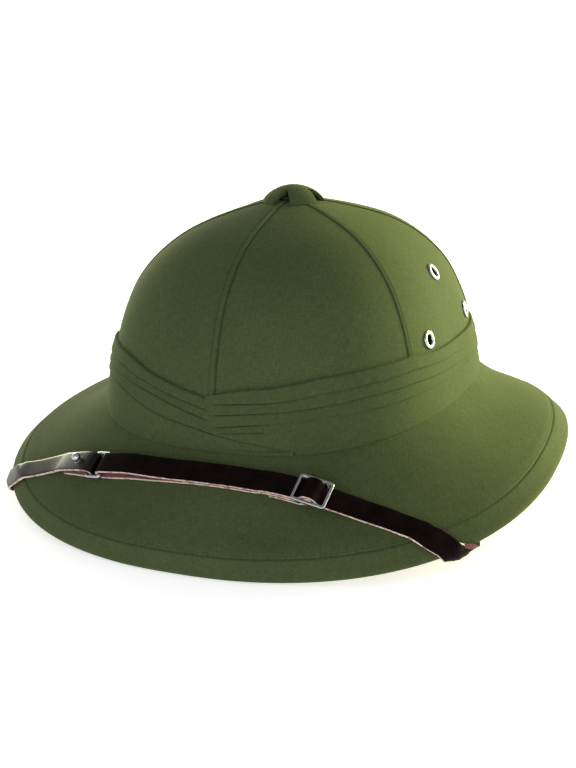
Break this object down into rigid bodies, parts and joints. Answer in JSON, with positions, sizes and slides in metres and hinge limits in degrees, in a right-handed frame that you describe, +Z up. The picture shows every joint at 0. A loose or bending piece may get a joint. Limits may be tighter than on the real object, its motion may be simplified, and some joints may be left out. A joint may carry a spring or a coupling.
{
  "type": "pith helmet",
  "caption": "Cloth-covered sun helmet with a gored crown, a wide sloping brim, a pleated band, side vent eyelets, a notched top button and a leather chin strap worn over the front brim.",
  "frame": {"origin": "on the surface that the brim's rim rests on, midway along and across the rim", "axes": "+Z up; the front of the helmet towards -Y; the wearer's left towards +X"},
  "size_m": [0.2938, 0.3216, 0.1575],
  "materials": {
    "shell": "matt pale pith board",
    "cloth": "matt olive-green cotton drill",
    "strap_leather": "polished dark brown leather with raw edges",
    "bright_metal": "polished",
    "plain_metal": "satin"
  },
  "bodies": {
    "root": {"shell": "shell", "gore_front_left": "cloth", "gore_side_left": "cloth", "gore_back_left": "cloth", "gore_front_right": "cloth", "gore_side_right": "cloth", "gore_back_right": "cloth", "brim_cover": "cloth", "brim_binding": "cloth", "band_left": "cloth", "band_right": "cloth", "top_button": "cloth", "button_seat": "shell", "eyelet_left_front": "bright_metal", "eyelet_left_top": "bright_metal", "eyelet_left_back": "bright_metal", "eyelet_right_front": "bright_metal", "eyelet_right_top": "bright_metal", "eyelet_right_back": "bright_metal", "strap_short": "strap_leather", "strap_long": "strap_leather", "strap_loop": "bright_metal", "strap_buckle": "bright_metal", "strap_stud": "bright_metal", "rivet_left": "plain_metal", "rivet_right": "plain_metal"}
  },
  "joints": []
}
